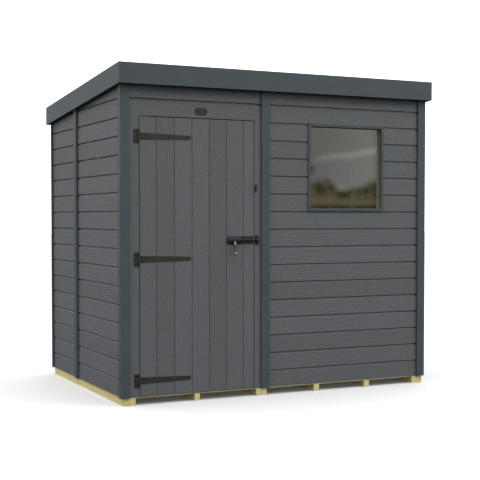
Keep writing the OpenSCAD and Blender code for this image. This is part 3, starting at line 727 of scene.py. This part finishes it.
casing_low, casing_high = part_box("bolt_casing")
bolt_z = (casing_low.z + casing_high.z) / 2
casing_screw_rise = 0.017
spots = []
for x in (0.101, 0.166):
    for side in (-1, 1):
        spots.append((casing_low.x + x, metal_face, bolt_z + side * casing_screw_rise))
black_screws("bolt_screws", "door", spots)

keeper_low, keeper_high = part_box("bolt_keeper")
keeper_x = (keeper_low.x + keeper_high.x) / 2
keeper_screw_rise = 0.021
spots = [(keeper_x, metal_face, bolt_z + side * keeper_screw_rise) for side in (-1, 1)]
black_screws("keeper_screws", "shed", spots)

button_low, button_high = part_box("button_screw")
button_middle = (button_low + button_high) / 2
spots = [(button_middle.x, button_low.y, button_middle.z)]
black_screws("button_recess", "shed", spots, radius=0.0039, height=0.0008)

badge_low, badge_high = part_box("badge_plate")
badge_z = (badge_low.z + badge_high.z) / 2
badge_screw_inset = 0.009
screw_xs = (badge_low.x + badge_screw_inset, badge_high.x - badge_screw_inset)
spots = [(x, badge_low.y, badge_z) for x in screw_xs]
black_screws("badge_screws", "shed", spots, radius=0.0028, height=0.0009)


# ---- door ----
# Upright boards with the walls' paint, on three ledges and two braces of bare softwood. The
# narrow posts beside the door are the same boards. Zinc screws go through each ledge.
door_board = 0.114
first_board_cut = 0.009
first_joint = door_low.x - first_board_cut
upright_boards = painted_boards(
    "painted upright boards", "z", door_board, first_joint, lapped=False
)
dress(upright_boards, "hinge_side_post", "lock_side_post", "door_boards")
dress(bare_timber("softwood ledges", softwood, "x"), "door_ledges")
dress(bare_timber("softwood braces", softwood, "z"), "door_braces")

ledge_screw_r, ledge_screw_h = 0.0038, 0.0008
first_ledge_screw = 0.06
ledge_end_margin = 0.01
spots = []
for low, high in loose_parts("door_ledges"):
    x = door_low.x + first_ledge_screw
    while x < high.x - ledge_end_margin:
        for share in (0.25, 0.75):
            spots.append((x, high.y, low.z + share * (high.z - low.z)))
        x += door_board
fixings(
    "ledge_screws", "door", galvanised, spots, ledge_screw_r, ledge_screw_h,
    cross=True, out=(0, 1, 0),
)


# ---- window ----
# One clear pane, 3 mm thick, held in the rebate of the frame behind the trim. The whole frame
# has a dark olive stain, which also paints in the shade of the opening it stands in.
stain_and_painted_shade = ((0.27, 0.26, 0.14, 1), (0.19, 0.18, 0.09, 1), (0.08, 0.07, 0.04, 1))
dress(bare_timber("window frame with stain and painted shade", stain_and_painted_shade, "z"), "window_frame")


def clear_glass():
    """Tinted glass. Shade and soft light pass straight through it into the cabin."""
    material, n, surface, leave = new_material("window glass")
    n.feed(surface, {
        "Base Color": (0.25, 0.28, 0.24, 1),
        "Roughness": 0.03,
        "IOR": 1.9,
        "Transmission Weight": 1.0,
    })
    clear = n.add("ShaderNodeBsdfTransparent", {"Color": (0.85, 0.9, 0.88, 1)})
    path = n.add("ShaderNodeLightPath")
    through = n.math("MAXIMUM", path.outputs["Is Shadow Ray"], path.outputs["Is Diffuse Ray"])
    both = n.add("ShaderNodeMixShader", {0: through, 1: surface.outputs[0], 2: clear.outputs[0]})
    n.feed(leave, {"Surface": both.outputs[0]})
    return material


dress(clear_glass(), "window_glass")


# A thin bead of sealant fills the corner between the glass and the frame. Its pale grey also
# stands in for the bright line along the edge of the glass, a painted highlight.
def glazing_bead():
    material, n, surface, _ = new_material("glazing sealant")
    # pale grey sealant, partly a painted highlight along the glass edge
    colour = n.mix(n.noise(n.place(), 60.0, 3.0), (0.16, 0.16, 0.14, 1), (0.26, 0.26, 0.23, 1))
    n.feed(surface, {"Base Color": colour, "Roughness": 0.4})
    trim_low, trim_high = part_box("window_trim")
    trim_w, bead_w = 0.017, 0.003
    glass_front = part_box("window_glass")[0].y
    work = bmesh.new()
    upright = Matrix.Rotation(math.pi / 2, 4, "X")
    bmesh.ops.create_grid(work, x_segments=1, y_segments=1, size=0.5, matrix=upright)
    pane = work.faces[:]
    for vert in work.verts:
        vert.co.x = trim_high.x - trim_w if vert.co.x > 0 else trim_low.x + trim_w
        vert.co.z = trim_high.z - trim_w if vert.co.z > 0 else trim_low.z + trim_w
        vert.co.y = glass_front - bead_w
    bmesh.ops.inset_region(
        work, faces=pane, thickness=bead_w, use_boundary=True, use_even_offset=True
    )
    # the bead is thicker along the bottom
    inner = set(pane[0].verts)
    for vert in inner:
        vert.co.y = glass_front
        if vert.co.z < (trim_low.z + trim_high.z) / 2:
            vert.co.z -= 0.7 * bead_w
    bmesh.ops.delete(work, geom=pane, context="FACES_ONLY")
    on_glass = [edge for edge in work.edges if inner.issuperset(edge.verts)]
    on_frame = [edge for edge in work.edges if inner.isdisjoint(edge.verts)]
    back = bmesh.ops.extrude_edge_only(work, edges=on_frame)["geom"]
    for part in back:
        if isinstance(part, bmesh.types.BMVert):
            part.co.y = glass_front
    back = [part for part in back if isinstance(part, bmesh.types.BMEdge) and part.is_boundary]
    bmesh.ops.bridge_loops(work, edges=on_glass + back)
    bmesh.ops.recalc_face_normals(work, faces=work.faces)
    piece = new_piece("glazing_bead", work, material)
    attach(piece, "shed")


glazing_bead()
for name in ("window_frame", "window_panel", "window_trim"):
    nodes[name].visible_glossy = False


# ---- floor, surroundings and light ----
# A plain pale floor in soft studio light. A wide sheet of sky and trees stands 12 m in front of
# the shed, seen only as the reflection in the window.
def stage_sheet(name, corners, material):
    sheet = bmesh.new()
    sheet.faces.new([sheet.verts.new(corner) for corner in corners])
    piece = new_piece(name, sheet, material)
    piece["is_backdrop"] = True
    return piece


def studio_floor():
    material, n, surface, _ = new_material("studio floor")
    n.feed(surface, {
        "Base Color": (0.82, 0.82, 0.82, 1),
        "Roughness": 1.0,
        "Specular IOR Level": 0.0,
        "Emission Color": (0.95, 0.98, 1.05, 1),
        "Emission Strength": 0.026,
    })
    reach = 60.0
    corners = [(x * reach, y * reach, 0) for x, y in ((-1, -1), (1, -1), (1, 1), (-1, 1))]
    floor = stage_sheet("studio_floor", corners, material)
    floor.visible_diffuse = False
    floor.visible_glossy = False


studio_floor()


def far_sky_and_trees():
    """A landscape laid out over the part of the sheet that the window reflects."""
    view_left, view_width = 6.95, 1.6
    view_low, view_height = 1.28, 1.58
    material, n, _, leave = new_material("far sky and trees")
    place = n.place()
    x, _, z = n.split(place)
    u = n.math("DIVIDE", n.math("SUBTRACT", x, view_left), view_width)
    v = n.math("DIVIDE", n.math("SUBTRACT", z, view_low), view_height)
    crowns = n.noise(place, 7.0, 3.0)
    drift = n.noise(place, 2.2, 2.0)

    def hump(along, middle, width, height):
        """A soft bell on one coordinate."""
        away = n.math("DIVIDE", n.math("SUBTRACT", along, middle), width)
        bell = n.math("EXPONENT", n.math("MULTIPLY", n.math("MULTIPLY", away, away), -1.0))
        return n.math("MULTIPLY", bell, height)

    def patch(under, u_middle, u_width, v_middle, v_width, colour):
        """A soft spot of another colour."""
        wide = hump(u, u_middle, u_width, 1.0)
        spot = n.math("MULTIPLY", wide, hump(v, v_middle, v_width, 1.0))
        return n.mix(spot, under, colour)

    # the line of the tree tops: middle, width and height of each crown or dip
    tree_top = n.spread(crowns, 0.3, 0.7, 0.205, 0.255)
    for middle, width, height in (
        (0.17, 0.24, 0.11), (0.3, 0.08, 0.06), (0.45, 0.06, -0.035), (0.68, 0.1, 0.01),
        (1.05, 0.26, 0.13),
    ):
        tree_top = n.math("ADD", tree_top, hump(u, middle, width, height))
    over_trees = n.math("SUBTRACT", v, tree_top)

    # the sky, with a bright band of cloud across it
    band_line = n.math("MULTIPLY_ADD", u, 0.15, n.spread(drift, 0.3, 0.7, 0.565, 0.595))
    over_band = n.math("SUBTRACT", v, band_line)
    band = n.math("MULTIPLY", hump(over_band, 0.0, 0.035, 1.0), n.spread(u, 0.0, 0.9, 0.15, 1.0))
    to_right = n.spread(u, 0.1, 0.9)
    low_sky = n.mix(to_right, (0.93, 0.92, 1.0, 1), (1.32, 1.29, 1.22, 1))
    high_sky = n.mix(to_right, (0.90, 0.91, 0.80, 1), (1.22, 1.24, 1.10, 1))
    sky = n.mix(n.spread(over_band, -0.02, 0.05), low_sky, high_sky)
    sky = n.mix(band, sky, (2.2, 2.05, 1.95, 1))
    sky = patch(sky, 0.47, 0.06, 0.235, 0.06, (1.8, 1.8, 1.75, 1))
    sky = patch(sky, 0.02, 0.07, 0.48, 0.07, (0.16, 0.16, 0.06, 1))

    # leaves over a dry bank, with dark ground at its foot
    leaf = n.mix(n.spread(crowns, 0.4, 0.6), (0.17, 0.17, 0.06, 1), (0.66, 0.60, 0.40, 1))
    soil_line = n.math("MULTIPLY_ADD", crowns, 0.16, v)
    soil_line = n.math("ADD", soil_line, hump(u, 0.3, 0.2, -0.05))
    earth = n.mix(n.spread(soil_line, 0.14, 0.24), (0.80, 0.66, 0.44, 1), leaf)
    earth = n.mix(n.spread(v, 0.02, 0.06), (0.22, 0.18, 0.08, 1), earth)
    earth = patch(earth, 0.07, 0.05, 0.17, 0.12, (0.70, 0.62, 0.36, 1))
    earth = patch(earth, 0.66, 0.04, 0.1, 0.1, (0.70, 0.66, 0.42, 1))
    earth = patch(earth, 0.5, 0.1, 0.17, 0.04, (0.15, 0.14, 0.06, 1))

    seen = n.mix(n.spread(over_trees, -0.035, 0.03), earth, sky)
    glow = n.add("ShaderNodeEmission", {"Color": seen, "Strength": 1.0})
    n.feed(leave, {"Surface": glow.outputs[0]})
    material.cycles.emission_sampling = "NONE"

    reach, lowest, highest = 30.0, -4, 16
    far_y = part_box("window_glass")[0].y - 12.0
    outline = ((-reach, lowest), (reach, lowest), (reach, highest), (-reach, highest))
    sheet = stage_sheet("far_sky_and_trees", [(x, far_y, z) for x, z in outline], material)
    sheet.visible_camera = False
    sheet.visible_diffuse = False
    sheet.visible_shadow = False


far_sky_and_trees()


def studio_sky():
    """Daylight, brightest overhead, with plain white behind the shed."""
    zenith_light, horizon_light, ground_light, backdrop = 1.9, 0.7, 0.05, 2.0
    world = bpy.data.worlds.new("studio")
    bpy.context.scene.world = world
    world.use_nodes = True
    world.node_tree.nodes.clear()
    n = Nodes(world.node_tree)
    rise = n.split(n.add("ShaderNodeTexCoord").outputs["Generated"])["Z"]
    above = n.math("GREATER_THAN", rise, 0.0)
    below = n.math("LESS_THAN", rise, 0.0)
    level = n.math("MULTIPLY", n.spread(rise, 0.0, 1.0, horizon_light, zenith_light), above)
    level = n.math("ADD", level, n.math("MULTIPLY", below, ground_light))
    seen = n.add("ShaderNodeLightPath").outputs["Is Camera Ray"]
    level = n.math("MAXIMUM", level, n.math("MULTIPLY", seen, backdrop))
    light = n.add("ShaderNodeBackground", {"Color": (1, 1, 1, 1), "Strength": level})
    n.add("ShaderNodeOutputWorld", {"Surface": light.outputs[0]})


studio_sky()


def soft_light(name, place, aim, size, power, tint):
    data = bpy.data.lights.new(name, "AREA")
    data.shape = "SQUARE"
    data.size = size
    data.energy = power
    data.color = tint
    lamp = bpy.data.objects.new(name, data)
    lamp.location = place
    lamp.rotation_euler = (Vector(aim) - Vector(place)).to_track_quat("-Z", "Y").to_euler()
    bpy.context.scene.collection.objects.link(lamp)


soft_light(
    "key", place=(4.5, -5.5, 6.0), aim=(0, 0, 1.0), size=2.0, power=90.0, tint=(1.0, 1.0, 1.0)
)
soft_light(
    "side fill", place=(-7.0, 1.0, 2.4), aim=(-1.0, 0, 0.8), size=4.0, power=39.5,
    tint=(1.0, 0.98, 0.94),
)

camera_place = Vector((-3.0987, -6.546, 1.1093))
camera_heading = Vector((0.4337, 0.9004, -0.0354))
camera_data = bpy.data.cameras.new("camera")
camera_data.lens = 79.04
camera_data.sensor_width = 36.0
camera_data.shift_y = 0.0300
camera = bpy.data.objects.new("camera", camera_data)
camera.location = camera_place
camera.rotation_euler = camera_heading.to_track_quat("-Z", "Y").to_euler()
bpy.context.scene.collection.objects.link(camera)
bpy.context.scene.camera = camera
bpy.context.scene.view_settings.view_transform = "Standard"

low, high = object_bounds()
